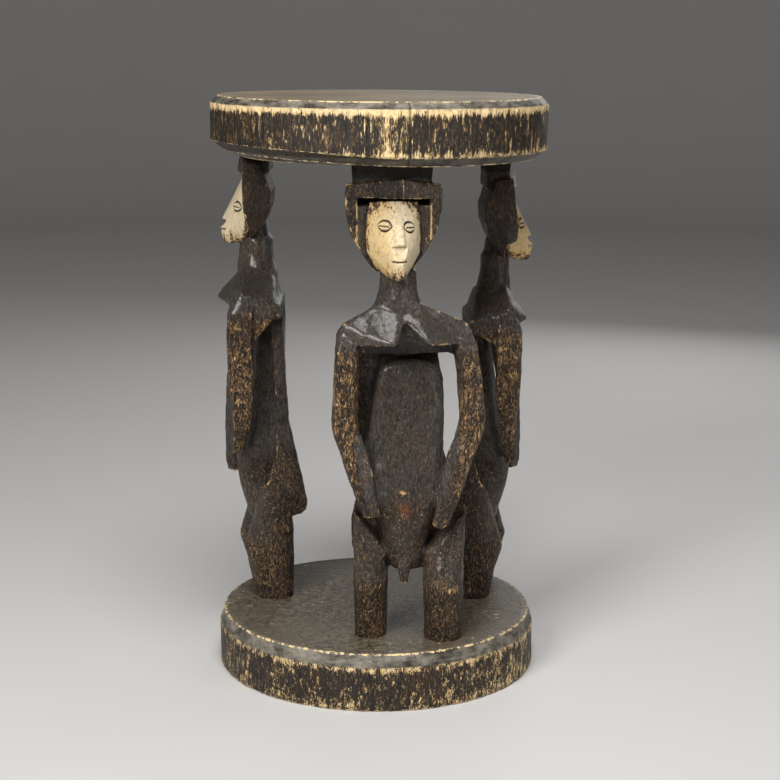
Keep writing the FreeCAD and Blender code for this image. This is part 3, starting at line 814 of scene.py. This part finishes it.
def chest_blocks(side, stance, trim):
    """Sloping shoulder, pointed breast and set-back band below them."""
    up, out = stance.lift, 51 + stance.breadth / 2
    mid = sway(stance, 300)
    aside = sway(stance, 330) + 0.4 * stance.head_shift - mid

    def towards_neck(x, z):
        return aside * float(np.clip((z - 297) / 16, 0, 1)) if x <= 17 else 0

    def block(points):
        return facets([(mid + side * x + towards_neck(x, z), y, z + up) for x, y, z in points])

    shoulder = block([
        (0, 3, 313), (0, -24, 319), (17, 2, 312), (17, -23, 317.5), (out - 5, 1, 298),
        (out - 4, -24, 303.5), (out - 1, 5, 290), (out - 0.5, -25, 298), (out - 1, 9, 281),
        (out - 1, -27, 285), (0, 10, 285), (0, -27, 293)])
    band = block([(0, 10, 292), (out - 2, 9, 292), (0, -24, 294), (out - 2, -22, 292),
                  (0, 10, 279), (out - 4, 9, 279), (0, -21, 278), (out - 4, -21, 279)])
    tip, web, short = 288 + trim.tip_rise, trim.web, trim.short
    tip_out = 14.5 + (3 * side if stance.breadth == 0 else 0)
    breast = block([
        (0, -22, 320), (14, -22, 318), (out - 2, -25.5, 303), (tip_out - 0.5, short - 45.5, tip + 1.5),
        (tip_out + 1, short - 44.5, tip - 0.5), (0, -32.5, 305), (tip_out - 5.5, -39, tip + 1),
        (30, -35.5, tip + 1.5), (out - 5, -29, 287), (0, -10, 305), (out - 6, -12, 290), (7, -14, 292)])
    armpit = block([(out - 19, -14, 279), (out - 12, -14, 280 - 0.4 * web), (out - 1.5, -14, 280 - web),
                    (out - 19, 5, 282), (out - 1.5, 5, 280), (out - 19, -14, 286), (out - 1.5, -14, 286),
                    (out - 19, 5, 288), (out - 1.5, 5, 288)])
    return [shoulder, band, breast, armpit]


def forearm_out(level):
    """How far out a forearm is at a level below the elbow."""
    return 40.5 - 0.27 * (ELBOW - level)


def arm_blocks(side, stance, hand_low, rounded):
    """Straight upper arm, angular elbow and flat, ridged forearm that ends in a hand on the hip."""
    half, up = stance.breadth / 2, stance.lift
    thick = 1 - 0.012 * stance.breadth
    wrist = hand_low + 8
    middle = (wrist + ELBOW) / 2
    stations = [
        (FOREARM, forearm_out(hand_low), 32, hand_low, 13, 8.5),
        (FOREARM, forearm_out(wrist), 32, wrist, 15, 10.5),
        (FOREARM, forearm_out(middle), 31.2, middle, 20, 11.5),
        (FOREARM, forearm_out(ELBOW), 30, ELBOW, 22, 12.5),
        (FOREARM, 48.2, 28.2, 219, 21, 15.5), (UPPER_ARM, 49.4, 27.4, 229, 20.5, 17),
        (UPPER_ARM, 48, 25.6, 253, 19.8, 18), (UPPER_ARM, 46, 24, 284 + up, 18.6, 18),
        (UPPER_ARM, 43.6, 20, 299 + up, 14, 12)]
    if rounded:
        stations.insert(0, (FOREARM, forearm_out(hand_low) - 0.8, 31.2, hand_low - 3.5, 6, 5.5))
    rings = []
    for section, x, forward, level, width, depth in stations:
        centre = side * (x + half) + sway(stance, level)
        rings.append([(centre + side * u * width, -forward - v * depth * thick, level) for u, v in section])
    return [facets(lower + upper) for lower, upper in zip(rings, rings[1:])]


def neck_block(stance, slim):
    """Round neck that flares into the shoulders and ends in a flat top under the head."""
    up = stance.lift
    x = sway(stance, 330) + 0.4 * stance.head_shift
    forward = 0.5 * stance.head_forward
    return column([(x, y - forward, level + up, width, slim * depth) for y, level, width, depth in [
        (-11.5, 308, 50, 34), (-11.8, 313, 42, 33.5), (-12.2, 318, 35.5, 33), (-12.5, 324, 31, 30.5),
        (-12.6, 330, 28.6, 28.8), (-12.4, 342, 27.8, 27.8), (-12.4, 343.5, 23, 23), (-13.5, 358, 20, 19)]])


def unwind(points, stance):
    """Turns the hips and legs a little against the chest and head."""
    level = points[:, 2] / MM
    angle = math.radians(stance.twist) * ease(285, 185, level)
    if stance.breadth == 0:
        angle *= 1 + 0.6 * ease(160, 105, level)
    x, y = points[:, 0].copy(), points[:, 1].copy()
    points[:, 0] = x * np.cos(angle) - y * np.sin(angle)
    points[:, 1] = x * np.sin(angle) + y * np.cos(angle)
    return points


def carve_body(carving, figure, stance):
    """Body of one figure from the feet to the neck."""
    front, trim = figure == "front", TRIMS[figure]
    up, reach = stance.lift, 33 + stance.breadth / 2
    blocks = torso_blocks(stance, 37 if front else reach, 22 if front else reach)
    for side, hand_low in zip((-1, 1), trim.hands):
        blocks += leg_blocks(side, stance, LEG_WIDTH + 2.4 * side * front, 0.9 * (side > 0) * front)
        blocks.append(buttock_block(side, stance))
        blocks += arm_blocks(side, stance, hand_low, front and side > 0)
        blocks += chest_blocks(side, stance, trim)
    blocks.append(neck_block(stance, trim.slim))
    if front:
        blocks.append(column([(-1, -15.5, 122, 13, 12), (-1, -17.5, 108, 10.5, 9.5),
                              (-1, -18, 99, 8.4, 8), (-1, -18.2, 94.5, 5.6, 5.4)], sides=14))
    body = join(blocks, f"{figure}_body")
    carve(body, carving.body_voxel, 6)
    soften(body, (points_of(body)[:, 2] / MM - CHEST_LOW - up) / 12, trim.rounds)
    tool_marks(body, "CLOUDS", 0.016, carving.adze_depth * 1.6)
    tool_marks(body, "VORONOI", 0.009, -carving.adze_depth)
    points = points_of(body) / MM
    x, y, level = points.T
    chest = ease(276 + up, 290 + up, level)
    thighs = plateau(93, 100, 135, 160, level)
    across = np.abs(x - sway(stance, 220)) - 0.3 * stance.breadth
    arms = ease(35, 41, across) * (1 - chest) * ease(150, 175, level)
    shins = ease(104, 90, level)
    knees = bell(level, KNEE, 5) * ease(-16, -24, y)
    knees *= ease(-0.1, 0.35, speckle(points, 9, stance.turn))
    seams = bell(across, 31, 2.5) * ease(-18, -24, y) * plateau(165, 180, 205, 222, level)
    belly = plateau(150, 180, 268, 284, level) * ease(33, 28, across)
    # Inner bevels of the forearms, where a grey reflection is painted
    inside = across - forearm_out(np.clip(level, ELBOW - 60, ELBOW))
    bevel = plateau(-13, -10, -3, 1, inside) * ease(-20, -25, y)
    bevel *= plateau(160, 172, 214, 224, level)
    ends = sum(bell(level, hand_low + 1, 3) * ease(8, 14, side * x)
               for side, hand_low in zip((-1, 1), trim.hands)) * ease(-22, -26, y)
    bare = (0.20 - 0.12 * bevel + 0.24 * ends - 0.09 * belly + 0.25 * arms + 0.13 * shins
            + 0.05 * thighs + 0.34 * knees + 0.22 * seams - 0.06 * chest)
    # Where the figure wood paints its grey sheen and lays its coat: the chest, the front of the thighs, the
    # forearms' inner bevels and the belly
    polish_and_sheen = (trim.sheen * chest + 0.45 * thighs * ease(2, -10, y)
              + 0.8 * bevel + 0.62 * belly + 0.10)
    # Painted shade under the chest: the set-back band below the breasts is darkened
    under = plateau(273 + up, 277 + up, 287 + up, 291 + up, level)
    under *= ease(-30, -27, y) * ease(36, 32, across)
    note_wear(body, 9, 0.75, 0.85, 0.75 * under)
    set_points(body, unwind(points_of(body), stance))
    stand(body, figure)
    x, y = (points_of(body) / MM).T[:2]
    rust = np.zeros(len(level))
    if front:
        ahead = ease(-96, -102, y)
        bare += 0.5 * ahead * bell(x, 20.2, 4.5) * bell(level, 171, 2.6)
        rust = ahead * bell(x, 21.3, 4.5) * bell(level, 157, 6)
    note(body, "bare", bare)
    note(body, "rust", rust)
    note(body, "polish_and_sheen", polish_and_sheen)
    nodes = [f"{figure}_{part}" for part in BODY_NODES] + ["front_peg"] * front
    settle(body, "figure_wood", *nodes)


class STOOL_OT_bodies(bpy.types.Operator):
    """Carves the three standing bodies from the feet to the neck"""

    bl_idname = "stool.bodies"
    bl_label = "Standing bodies"

    def execute(self, context):
        return each_figure(context, carve_body)


def head_place(stance):
    """Sideways and forward place of a head in its figure's own frame."""
    return sway(stance, CHIN + stance.lift) + stance.head_shift, -stance.head_forward


def carve_hood(carving, figure, stance):
    """Hood of one figure, with its brow, side flaps and crown."""
    hx, hy = head_place(stance)
    up = stance.lift

    def both_sides(points):
        return facets([(hx + side * x, hy + y, z + up) for side in (-1, 1) for x, y, z in points])

    ridge = hx + (6 if figure == "front" else 0)
    fore = 1 if figure == "right" else 0
    hood = both_sides([
        (37, -21, 408), (37, -21.5 - fore, 389), (34, -21.5 - 3.5 * fore, 376), (30.5, -21 - 6 * fore, 366),
        (27, -18.5 - 8 * fore, 360), (23.5, -18 - 9 * fore, 354.5), (18.5, -17.5 - 4 * fore, 347),
        (13.5, -17.5, 341), (34, -7, 404), (35, -1, 388), (31, 1, 370), (24, -3, 358), (16, -8, 350),
        (9, -12, 344), (28, -6, 408), (32, 1.8, 382), (0, -23, 411), (0, -23, 400), (0, 2, 384)])
    gape = 50.5 - 25 * fore
    cut(hood, both_sides([(gape, -32, 334), (gape, -32, 396.5), (20, -17.6, 334), (20, -17.6, 394)]))
    cut(hood, both_sides([(28.5, -32, 391), (28.5, -32, 398.5), (27, -8, 392.5), (27, -8, 397)]))
    brow = facets([(x, hy + y, z + up) for x, y, z in [
        (hx - 37, -21.5, 398.5), (hx + 37, -21.5, 397), (ridge, -28, 397), (hx - 37, -20.5, 407),
        (hx + 37, -20.5, 406), (ridge, -25.5, 412), (hx - 37, -16, 398.5), (hx + 37, -16, 397),
        (ridge, -16, 412), (hx - 36, -14, 407), (hx + 36, -14, 406)]])
    crown = column([(hx, hy - 9.5, 398 + up, 62, 20), (hx, hy - 9.5, 411 + up, 60, 20),
                    (hx, hy - 9.5, SEAT_UNDER + 3, 62, 24)], corner=7)
    hood = join([hood, brow, crown], f"{figure}_hood")
    carve(hood, carving.head_voxel, 4)
    tool_marks(hood, "CLOUDS", 0.010, carving.adze_depth)
    tool_marks(hood, "VORONOI", 0.007, -carving.adze_depth * 0.7)
    x, y, z = (points_of(hood) / MM - np.array((hx, hy, up))).T
    front, beside = ease(-17, -20, y), np.abs(x)
    # Painted grey sheen on the hood's front and its temples
    temples = front * ease(29, 27, beside) * ease(394, 390, z)
    note(hood, "polish_and_sheen", 0.10 + 0.18 * front + 0.4 * temples)
    note(hood, "bare", 0.09 + 0.09 * front)
    line = bell(x, ridge - hx, 0.8) * ease(-22, -24, y)
    inner = bell(beside, 28.3, 0.9) * ease(-16, -19, y) * ease(396, 392, z)
    line = np.maximum(line, (1 - fore) * inner)
    # Painted shadow of the seat on the hood's top above level 411, and worn lines on the ridge and the
    # temples
    note_wear(hood, 12, 0.60, 0.7, ease(411, 413, z), 0.9 * line)
    stand(hood, figure)
    settle(hood, "figure_wood", f"{figure}_coiffure")


class STOOL_OT_coiffures(bpy.types.Operator):
    """Carves the three hoods of hair with their brows and side flaps"""

    bl_idname = "stool.coiffures"
    bl_label = "Coiffures"

    def execute(self, context):
        return each_figure(context, carve_hood)


# Turn of a cheek in degrees, half length of an eye and heights of its lids in millimetres
CHEEK_TURN, EYE_REACH, UPPER_LID, LOWER_LID = 42, 5.3, 4.3, 3.9
# Place across, level and tilt of each eye
EYES = {"front": ((-8.9, 377.3, -0.12), (11.6, 376.2, 0)),
        "left": ((-15.3, 368.8, 0.1), (15.3, 368.8, -0.1)),
        "right": ((-10.8, 368.8, 0.1), (10.8, 368.8, -0.1))}


def carve_eye(points, normals, centre, side, tilt):
    """Lets an almond of lids with a slit into a cheek, and returns how much painted shade each point gets
    in the grooves and the slit.
    """
    away = points - np.array(centre)
    turn = math.radians(CHEEK_TURN * side)
    along = away[:, 0] * math.cos(turn) + away[:, 1] * math.sin(turn)
    rise = away[:, 2] * 1.08 - tilt * along
    share = np.clip(1 - (np.abs(along) / EYE_REACH) ** 2.6, 0, 1)
    near = (np.abs(away[:, 1]) < 9) & (np.abs(along) < 5.6) & (np.abs(rise) < 6.5)
    rim = np.minimum(np.abs(rise - UPPER_LID * share), np.abs(rise + LOWER_LID * share))
    inside = (rise < UPPER_LID * share) & (rise > -LOWER_LID * share)
    groove = np.clip(1.25 - rim / 0.95, 0, 1) * near
    slit = np.clip(1.2 - np.abs(rise + 0.3) / 0.6, 0, 1) * (np.abs(along) < 3.9) * near
    lids = np.where(inside & near, 0.7 * np.clip(rim / 1.6, 0, 1), 0)
    points += normals * (lids - 1.25 * groove - 1.1 * slit)[:, None]
    return np.maximum(groove, slit)


def carve_face(carving, figure, stance):
    """Face of one figure: a wedge with eyes, a nose notch and a mouth."""
    hx, hy = head_place(stance)
    up = stance.lift
    nose, mouth = (363, 351.3) if figure == "front" else (357.5, 349)
    ridge = 2.6 if figure == "front" else 0

    def both_sides(points):
        return facets([(hx + side * x + ridge * step, hy + y, z + up)
                       for side in (-1, 1) for x, y, z, step in points])

    face = both_sides([
        (19, -17, 395, 0), (6, -21.5, 395.5, 1), (20.5, -18.2, 385, 0), (21.5, -18.4, 370, 0),
        (21, -18.6, 357.5, 0), (15.5, -18.6, 346.5, 0), (8, -19.5, 339, 0), (3.5, -39.5, 339.5, 0.7),
        (3, -37, 336.5, 0.7), (2.5, -42, 355, 0.8), (2.5, -41.8, 348, 0.7), (13, -31, 361, 0.5),
        (11.5, -27.8, 378, 0.5), (17, -15, 390, 0), (16, -15.5, 360, 0), (9, -15.5, 346, 0)])
    bridge = both_sides([(2, -20, 394, 1), (1.5, -22.5, 393, 1), (5.2, -36.5, nose, 1),
                         (2.5, -40.6, nose + 1, 1), (5.5, -30, nose, 1), (4, -21, 392, 1)])
    face = join([face, bridge], f"{figure}_mask")
    finish_with(face, "REMESH", mode="VOXEL", voxel_size=0.0008)
    finish_with(face, "SMOOTH", factor=0.5, iterations=10)
    lip = mouth + 2.5
    cut(face, both_sides([(6.5, -36.4, nose - 0.2, 1), (8, -48, nose + 0.6, 1), (6, -36.6, nose - 1.4, 1),
                          (9, -48, lip, 0.8), (4, -42, lip, 0.8), (9, -40.5, lip, 0.8)]))
    cut(face, bar((hx + 0.7 * ridge, hy - 41.5, mouth + up), (12, 9, 1.4), 4))
    carve(face, carving.face_voxel, 2)
    tool_marks(face, "CLOUDS", 0.008, carving.adze_depth * 0.5)
    points = points_of(face) / MM
    normals = normals_of(face)
    lines = np.zeros(len(points))
    for across, level, tilt in EYES[figure]:
        side = 1 if across > 0 else -1
        beside = (np.abs(points[:, 0] - hx - across) < 1) & (np.abs(points[:, 2] - up - level) < 1)
        front = points[beside, 1].min()
        lines = np.maximum(lines, carve_eye(points, normals, (hx + across, front, level + up), side, tilt))
    set_points(face, points * MM)
    across, level = points[:, 0] - hx, points[:, 2] - up
    back = ease(-24, -19.5, points[:, 1] - hy)
    chin = ease(352, 338, level)
    note(face, "yellowed", ease(4, -10, across) * 0.75 + 0.08 + 0.40 * chin)
    note(face, "bare", 0.29 + 0.38 * chin + 0.34 * back + 0.10 * ease(380, 394, level))
    # Painted shade in the eyes' grooves and slits
    note_wear(face, 10, 0.6, 0.50, ease(0.15, 0.6, lines))
    stand(face, figure)
    settle(face, "face_pigment", f"{figure}_face")


class STOOL_OT_faces(bpy.types.Operator):
    """Carves the three pale, forward sloping faces"""

    bl_idname = "stool.faces"
    bl_label = "Faces"

    def execute(self, context):
        return each_figure(context, carve_face)


# The stage: a round floor that curves up into a bowl, in metres, and a camera's sensor, in millimetres

FLOOR_RADIUS, BOWL_RISE, BOWL_STEPS = 3.4, 1.6, 9
SENSOR_WIDTH = 36.0


def soft_light(name, place_at, aim, size, power):
    bpy.ops.object.light_add(type="AREA", location=place_at)
    light = bpy.context.object
    light.name = name
    light.data.shape = "DISK"
    light.data.size = size
    light.data.energy = power
    light.rotation_euler = (Vector(aim) - Vector(place_at)).to_track_quat("-Z", "Y").to_euler()
    return light


class STOOL_OT_stage(bpy.types.Operator):
    """Sets up the pale floor, the soft lights and the camera"""

    bl_idname = "stool.stage"
    bl_label = "Studio stage"

    def execute(self, context):
        stage = context.scene.stool_stage
        deselect()
        bpy.ops.mesh.primitive_circle_add(vertices=96, radius=FLOOR_RADIUS, fill_type="NGON")
        floor = context.object
        floor.name = "studio_floor"
        edit_all()
        extrude()
        radius = FLOOR_RADIUS
        turn = 90.0 / BOWL_STEPS
        for step in range(1, BOWL_STEPS + 1):
            angle = math.radians(turn * step)
            wider = FLOOR_RADIUS + BOWL_RISE * math.sin(angle)
            rise = BOWL_RISE * (math.cos(angle - math.radians(turn)) - math.cos(angle))
            bpy.ops.transform.translate(value=(0.0, 0.0, rise))
            bpy.ops.transform.resize(value=(wider / radius, wider / radius, 1.0),
                                     center_override=(0.0, 0.0, 0.0))
            radius = wider
            if step < BOWL_STEPS:
                extrude()
        bpy.ops.mesh.delete(type="ONLY_FACE")
        bpy.ops.object.mode_set(mode="OBJECT")
        bpy.ops.object.shade_smooth()
        material, shader, coords = new_material("studio_floor")
        darker = [0.95 * value for value in stage.floor_colour]
        coords.clouds(3.0, 2.0).blend(darker, stage.floor_colour).into(shader, "Base Color")
        shader.inputs["Roughness"].default_value = 0.6
        floor.data.materials.append(material)

        middle = (0.0, 0.0, 0.24)
        soft_light("key_light", (-0.85, -1.55, 1.15), middle, 0.75, stage.key_power)
        soft_light("fill_light", (1.3, -1.2, 0.75), middle, 1.2, stage.fill_power)
        soft_light("top_light", (0.05, -0.80, 1.75), middle, 0.8, stage.top_power)
        soft_light("rear_light", (0.5, 1.4, 0.8), middle, 1.2, 0.6 * stage.fill_power)
        world = bpy.data.worlds.new("studio")
        world.use_nodes = True
        world.node_tree.nodes["Background"].inputs["Color"].default_value = (0.84, 0.82, 0.79, 1.0)
        world.node_tree.nodes["Background"].inputs["Strength"].default_value = 0.10
        context.scene.world = world
        context.scene.view_settings.view_transform = "Standard"

        bpy.ops.object.camera_add(location=stage.camera_place)
        camera = context.object
        aim = (Matrix.Rotation(-stage.camera_yaw, 4, "Z")
               @ Matrix.Rotation(math.pi / 2 - stage.camera_pitch, 4, "X")
               @ Matrix.Rotation(stage.camera_roll, 4, "Z"))
        camera.rotation_euler = aim.to_euler()
        camera.data.sensor_width = SENSOR_WIDTH
        camera.data.lens = stage.lens
        context.scene.camera = camera
        return {"FINISHED"}


class STOOL_OT_finishes(bpy.types.Operator):
    """Mixes the wood and pigment finishes"""

    bl_idname = "stool.finishes"
    bl_label = "Finishes"

    def execute(self, context):
        finish = context.scene.stool_finish
        make_groups()
        make_disc_wood(finish)
        make_figure_wood(finish)
        make_face_pigment(finish)
        return {"FINISHED"}


class STOOL_PT_panel(bpy.types.Panel):
    """Lists the steps that make the stool"""

    bl_idname = "STOOL_PT_panel"
    bl_label = "Ceremonial stool"
    bl_space_type = "VIEW_3D"
    bl_region_type = "UI"
    bl_category = "Stool"

    def draw(self, context):
        column_layout = self.layout.column()
        for step in STEPS:
            column_layout.operator(step.bl_idname)
        for group in (context.scene.stool_carving, context.scene.stool_finish, context.scene.stool_stage):
            for name in group.__annotations__:
                column_layout.prop(group, name)


STEPS = (STOOL_OT_finishes, STOOL_OT_seat, STOOL_OT_base, STOOL_OT_bodies,
         STOOL_OT_coiffures, STOOL_OT_faces, STOOL_OT_stage)
GROUPS = (("stool_carving", StoolCarving), ("stool_finish", StoolFinish), ("stool_stage", StoolStage))


def register():
    for name, group in GROUPS:
        bpy.utils.register_class(group)
        setattr(bpy.types.Scene, name, PointerProperty(type=group))
    for item in STEPS + (STOOL_PT_panel,):
        bpy.utils.register_class(item)


def unregister():
    for item in reversed(STEPS + (STOOL_PT_panel,)):
        bpy.utils.unregister_class(item)
    for name, group in reversed(GROUPS):
        delattr(bpy.types.Scene, name)
        bpy.utils.unregister_class(group)


def main():
    register()
    bpy.ops.stool.finishes()
    bpy.ops.stool.seat()
    bpy.ops.stool.base()
    bpy.ops.stool.bodies()
    bpy.ops.stool.coiffures()
    bpy.ops.stool.faces()
    bpy.ops.stool.stage()


if __name__ == "__main__":
    main()
